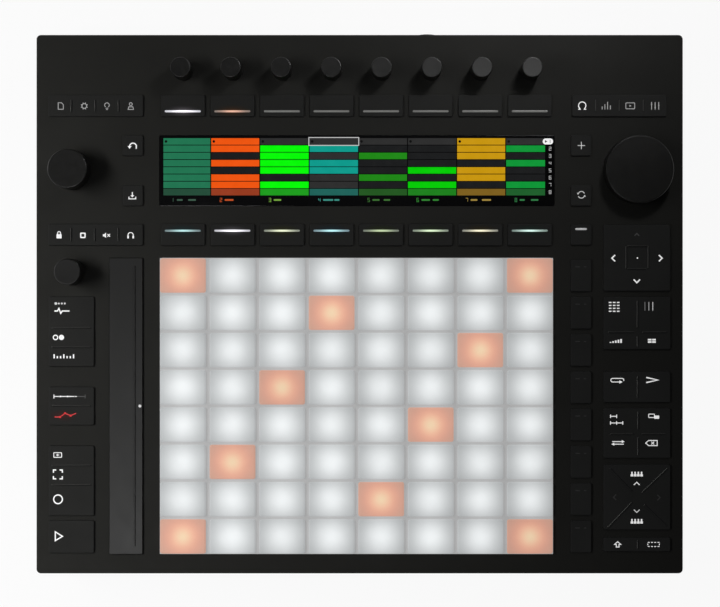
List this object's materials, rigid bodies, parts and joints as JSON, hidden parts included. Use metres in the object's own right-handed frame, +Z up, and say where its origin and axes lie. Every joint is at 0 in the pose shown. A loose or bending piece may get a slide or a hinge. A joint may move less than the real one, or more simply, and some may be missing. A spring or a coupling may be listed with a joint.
{
  "type": "midi pad controller",
  "caption": "Flat black desktop pad controller: lit pad grid, wide display, key islands, row of encoder knobs, jog wheel, touch strip and rear sockets.",
  "frame": {"origin": "on the table, under the middle of the whole object with its rear collar", "axes": "+X to the user's right, +Y to the rear wall with the sockets, +Z up out of the panel"},
  "size_m": [0.38, 0.3184, 0.044],
  "materials": {
    "housing": "matte",
    "base_plate": "satin",
    "rubber": "matte",
    "screw_steel": "satin",
    "pad_silicone": "matte",
    "strip": "satin",
    "display_glass": "polished",
    "display_frame": "matte",
    "encoder_metal": "satin",
    "circuit_board": "satin",
    "socket": "satin",
    "carrier": "satin",
    "button": "matte",
    "key_cap": "matte",
    "knob": "matte"
  },
  "bodies": {
    "root": {"top_housing": "housing", "bottom_plate": "base_plate", "rubber_feet": "rubber", "case_screws": "screw_steel", "pad_mat": "pad_silicone", "touch_strip": "strip", "display_glass": "display_glass", "display_module": "display_frame", "encoder_bodies": "encoder_metal", "pad_sensor_board": "circuit_board", "circuit_boards": "circuit_board", "rear_sockets": "socket"},
    "upper_display_key_1": {"upper_display_key_1": "key_cap"},
    "upper_display_key_2": {"upper_display_key_2": "key_cap"},
    "upper_display_key_3": {"upper_display_key_3": "key_cap"},
    "upper_display_key_4": {"upper_display_key_4": "key_cap"},
    "upper_display_key_5": {"upper_display_key_5": "key_cap"},
    "upper_display_key_6": {"upper_display_key_6": "key_cap"},
    "upper_display_key_7": {"upper_display_key_7": "key_cap"},
    "upper_display_key_8": {"upper_display_key_8": "key_cap"},
    "lower_display_key_1": {"lower_display_key_1": "key_cap"},
    "lower_display_key_2": {"lower_display_key_2": "key_cap"},
    "lower_display_key_3": {"lower_display_key_3": "key_cap"},
    "lower_display_key_4": {"lower_display_key_4": "key_cap"},
    "lower_display_key_5": {"lower_display_key_5": "key_cap"},
    "lower_display_key_6": {"lower_display_key_6": "key_cap"},
    "lower_display_key_7": {"lower_display_key_7": "key_cap"},
    "lower_display_key_8": {"lower_display_key_8": "key_cap"},
    "upper_left_bar": {"upper_left_bar": "key_cap"},
    "upper_right_bar": {"upper_right_bar": "key_cap"},
    "undo_key": {"undo_key": "key_cap"},
    "save_key": {"save_key": "key_cap"},
    "plus_key": {"plus_key": "key_cap"},
    "swap_key": {"swap_key": "key_cap"},
    "lower_left_bar": {"lower_left_bar": "key_cap"},
    "master_key": {"master_key": "key_cap"},
    "direction_pad": {"direction_pad": "key_cap"},
    "layout_block": {"layout_block": "key_cap"},
    "repeat_block": {"repeat_block": "key_cap"},
    "loop_block": {"loop_block": "key_cap"},
    "page_block": {"page_block": "key_cap"},
    "shift_block": {"shift_block": "key_cap"},
    "tap_block": {"tap_block": "key_cap"},
    "automate_block": {"automate_block": "key_cap"},
    "record_block": {"record_block": "key_cap"},
    "play_key": {"play_key": "key_cap"},
    "row_key_strip": {"row_key_strip": "key_cap"},
    "encoder_knob_1": {"encoder_knob_1": "knob"},
    "encoder_knob_2": {"encoder_knob_2": "knob"},
    "encoder_knob_3": {"encoder_knob_3": "knob"},
    "encoder_knob_4": {"encoder_knob_4": "knob"},
    "encoder_knob_5": {"encoder_knob_5": "knob"},
    "encoder_knob_6": {"encoder_knob_6": "knob"},
    "encoder_knob_7": {"encoder_knob_7": "knob"},
    "encoder_knob_8": {"encoder_knob_8": "knob"},
    "volume_knob": {"volume_knob": "knob"},
    "tempo_knob": {"tempo_knob": "knob"},
    "jog_carrier": {"jog_carrier": "carrier"},
    "jog_wheel": {"jog_wheel": "knob"},
    "power_button": {"power_button": "button"}
  },
  "joints": [
    {"name": "upper_display_key_1_press", "type": "slide", "parent": "root", "child": "upper_display_key_1", "axis": [0, 0, -1], "range_m": [0, 0.0008], "stiffness_N_per_m": 800, "springref_m": -0.0006},
    {"name": "upper_display_key_2_press", "type": "slide", "parent": "root", "child": "upper_display_key_2", "axis": [0, 0, -1], "range_m": [0, 0.0008], "stiffness_N_per_m": 800, "springref_m": -0.0006},
    {"name": "upper_display_key_3_press", "type": "slide", "parent": "root", "child": "upper_display_key_3", "axis": [0, 0, -1], "range_m": [0, 0.0008], "stiffness_N_per_m": 800, "springref_m": -0.0006},
    {"name": "upper_display_key_4_press", "type": "slide", "parent": "root", "child": "upper_display_key_4", "axis": [0, 0, -1], "range_m": [0, 0.0008], "stiffness_N_per_m": 800, "springref_m": -0.0006},
    {"name": "upper_display_key_5_press", "type": "slide", "parent": "root", "child": "upper_display_key_5", "axis": [0, 0, -1], "range_m": [0, 0.0008], "stiffness_N_per_m": 800, "springref_m": -0.0006},
    {"name": "upper_display_key_6_press", "type": "slide", "parent": "root", "child": "upper_display_key_6", "axis": [0, 0, -1], "range_m": [0, 0.0008], "stiffness_N_per_m": 800, "springref_m": -0.0006},
    {"name": "upper_display_key_7_press", "type": "slide", "parent": "root", "child": "upper_display_key_7", "axis": [0, 0, -1], "range_m": [0, 0.0008], "stiffness_N_per_m": 800, "springref_m": -0.0006},
    {"name": "upper_display_key_8_press", "type": "slide", "parent": "root", "child": "upper_display_key_8", "axis": [0, 0, -1], "range_m": [0, 0.0008], "stiffness_N_per_m": 800, "springref_m": -0.0006},
    {"name": "lower_display_key_1_press", "type": "slide", "parent": "root", "child": "lower_display_key_1", "axis": [0, 0, -1], "range_m": [0, 0.0008], "stiffness_N_per_m": 800, "springref_m": -0.0006},
    {"name": "lower_display_key_2_press", "type": "slide", "parent": "root", "child": "lower_display_key_2", "axis": [0, 0, -1], "range_m": [0, 0.0008], "stiffness_N_per_m": 800, "springref_m": -0.0006},
    {"name": "lower_display_key_3_press", "type": "slide", "parent": "root", "child": "lower_display_key_3", "axis": [0, 0, -1], "range_m": [0, 0.0008], "stiffness_N_per_m": 800, "springref_m": -0.0006},
    {"name": "lower_display_key_4_press", "type": "slide", "parent": "root", "child": "lower_display_key_4", "axis": [0, 0, -1], "range_m": [0, 0.0008], "stiffness_N_per_m": 800, "springref_m": -0.0006},
    {"name": "lower_display_key_5_press", "type": "slide", "parent": "root", "child": "lower_display_key_5", "axis": [0, 0, -1], "range_m": [0, 0.0008], "stiffness_N_per_m": 800, "springref_m": -0.0006},
    {"name": "lower_display_key_6_press", "type": "slide", "parent": "root", "child": "lower_display_key_6", "axis": [0, 0, -1], "range_m": [0, 0.0008], "stiffness_N_per_m": 800, "springref_m": -0.0006},
    {"name": "lower_display_key_7_press", "type": "slide", "parent": "root", "child": "lower_display_key_7", "axis": [0, 0, -1], "range_m": [0, 0.0008], "stiffness_N_per_m": 800, "springref_m": -0.0006},
    {"name": "lower_display_key_8_press", "type": "slide", "parent": "root", "child": "lower_display_key_8", "axis": [0, 0, -1], "range_m": [0, 0.0008], "stiffness_N_per_m": 800, "springref_m": -0.0006},
    {"name": "upper_left_bar_press", "type": "slide", "parent": "root", "child": "upper_left_bar", "axis": [0, 0, -1], "range_m": [0, 0.0008], "stiffness_N_per_m": 1200, "springref_m": -0.0006},
    {"name": "upper_right_bar_press", "type": "slide", "parent": "root", "child": "upper_right_bar", "axis": [0, 0, -1], "range_m": [0, 0.0008], "stiffness_N_per_m": 1200, "springref_m": -0.0006},
    {"name": "undo_key_press", "type": "slide", "parent": "root", "child": "undo_key", "axis": [0, 0, -1], "range_m": [0, 0.0008], "stiffness_N_per_m": 800, "springref_m": -0.0006},
    {"name": "save_key_press", "type": "slide", "parent": "root", "child": "save_key", "axis": [0, 0, -1], "range_m": [0, 0.0008], "stiffness_N_per_m": 800, "springref_m": -0.0006},
    {"name": "plus_key_press", "type": "slide", "parent": "root", "child": "plus_key", "axis": [0, 0, -1], "range_m": [0, 0.0008], "stiffness_N_per_m": 800, "springref_m": -0.0006},
    {"name": "swap_key_press", "type": "slide", "parent": "root", "child": "swap_key", "axis": [0, 0, -1], "range_m": [0, 0.0008], "stiffness_N_per_m": 800, "springref_m": -0.0006},
    {"name": "lower_left_bar_press", "type": "slide", "parent": "root", "child": "lower_left_bar", "axis": [0, 0, -1], "range_m": [0, 0.0008], "stiffness_N_per_m": 1200, "springref_m": -0.0006},
    {"name": "master_key_press", "type": "slide", "parent": "root", "child": "master_key", "axis": [0, 0, -1], "range_m": [0, 0.0008], "stiffness_N_per_m": 800, "springref_m": -0.0006},
    {"name": "direction_pad_press", "type": "slide", "parent": "root", "child": "direction_pad", "axis": [0, 0, -1], "range_m": [0, 0.0008], "stiffness_N_per_m": 1200, "springref_m": -0.0006},
    {"name": "layout_block_press", "type": "slide", "parent": "root", "child": "layout_block", "axis": [0, 0, -1], "range_m": [0, 0.0008], "stiffness_N_per_m": 1200, "springref_m": -0.0006},
    {"name": "repeat_block_press", "type": "slide", "parent": "root", "child": "repeat_block", "axis": [0, 0, -1], "range_m": [0, 0.0008], "stiffness_N_per_m": 1200, "springref_m": -0.0006},
    {"name": "loop_block_press", "type": "slide", "parent": "root", "child": "loop_block", "axis": [0, 0, -1], "range_m": [0, 0.0008], "stiffness_N_per_m": 1200, "springref_m": -0.0006},
    {"name": "page_block_press", "type": "slide", "parent": "root", "child": "page_block", "axis": [0, 0, -1], "range_m": [0, 0.0008], "stiffness_N_per_m": 1200, "springref_m": -0.0006},
    {"name": "shift_block_press", "type": "slide", "parent": "root", "child": "shift_block", "axis": [0, 0, -1], "range_m": [0, 0.0008], "stiffness_N_per_m": 1200, "springref_m": -0.0006},
    {"name": "tap_block_press", "type": "slide", "parent": "root", "child": "tap_block", "axis": [0, 0, -1], "range_m": [0, 0.0008], "stiffness_N_per_m": 1200, "springref_m": -0.0006},
    {"name": "automate_block_press", "type": "slide", "parent": "root", "child": "automate_block", "axis": [0, 0, -1], "range_m": [0, 0.0008], "stiffness_N_per_m": 1200, "springref_m": -0.0006},
    {"name": "record_block_press", "type": "slide", "parent": "root", "child": "record_block", "axis": [0, 0, -1], "range_m": [0, 0.0008], "stiffness_N_per_m": 1200, "springref_m": -0.0006},
    {"name": "play_key_press", "type": "slide", "parent": "root", "child": "play_key", "axis": [0, 0, -1], "range_m": [0, 0.0008], "stiffness_N_per_m": 1200, "springref_m": -0.0006},
    {"name": "row_key_strip_press", "type": "slide", "parent": "root", "child": "row_key_strip", "axis": [0, 0, -1], "range_m": [0, 0.0008], "stiffness_N_per_m": 1500, "springref_m": -0.0006},
    {"name": "encoder_knob_1_turn", "type": "hinge", "parent": "root", "child": "encoder_knob_1", "pos_m": [-0.10375, 0.1362, 0.031], "axis": [0, 0, 1], "continuous": true},
    {"name": "encoder_knob_2_turn", "type": "hinge", "parent": "root", "child": "encoder_knob_2", "pos_m": [-0.07465, 0.1362, 0.031], "axis": [0, 0, 1], "continuous": true},
    {"name": "encoder_knob_3_turn", "type": "hinge", "parent": "root", "child": "encoder_knob_3", "pos_m": [-0.04555, 0.1362, 0.031], "axis": [0, 0, 1], "continuous": true},
    {"name": "encoder_knob_4_turn", "type": "hinge", "parent": "root", "child": "encoder_knob_4", "pos_m": [-0.01645, 0.1362, 0.031], "axis": [0, 0, 1], "continuous": true},
    {"name": "encoder_knob_5_turn", "type": "hinge", "parent": "root", "child": "encoder_knob_5", "pos_m": [0.01265, 0.1362, 0.031], "axis": [0, 0, 1], "continuous": true},
    {"name": "encoder_knob_6_turn", "type": "hinge", "parent": "root", "child": "encoder_knob_6", "pos_m": [0.04175, 0.1362, 0.031], "axis": [0, 0, 1], "continuous": true},
    {"name": "encoder_knob_7_turn", "type": "hinge", "parent": "root", "child": "encoder_knob_7", "pos_m": [0.07085, 0.1362, 0.031], "axis": [0, 0, 1], "continuous": true},
    {"name": "encoder_knob_8_turn", "type": "hinge", "parent": "root", "child": "encoder_knob_8", "pos_m": [0.09995, 0.1362, 0.031], "axis": [0, 0, 1], "continuous": true},
    {"name": "volume_knob_turn", "type": "hinge", "parent": "root", "child": "volume_knob", "pos_m": [-0.1692, 0.0776, 0.031], "axis": [0, 0, 1], "continuous": true},
    {"name": "tempo_knob_turn", "type": "hinge", "parent": "root", "child": "tempo_knob", "pos_m": [-0.1692, 0.0179, 0.031], "axis": [0, 0, 1], "continuous": true},
    {"name": "jog_press", "type": "slide", "parent": "root", "child": "jog_carrier", "axis": [0, 0, -1], "range_m": [0, 0.0006], "stiffness_N_per_m": 1500, "springref_m": -0.0006},
    {"name": "jog_wheel_turn", "type": "hinge", "parent": "jog_carrier", "child": "jog_wheel", "pos_m": [0.1628, 0.0776, 0.031], "axis": [0, 0, 1], "continuous": true},
    {"name": "power_button_press", "type": "slide", "parent": "root", "child": "power_button", "axis": [0, -1, 0], "range_m": [0, 0.0012], "stiffness_N_per_m": 500, "springref_m": -0.001}
  ]
}
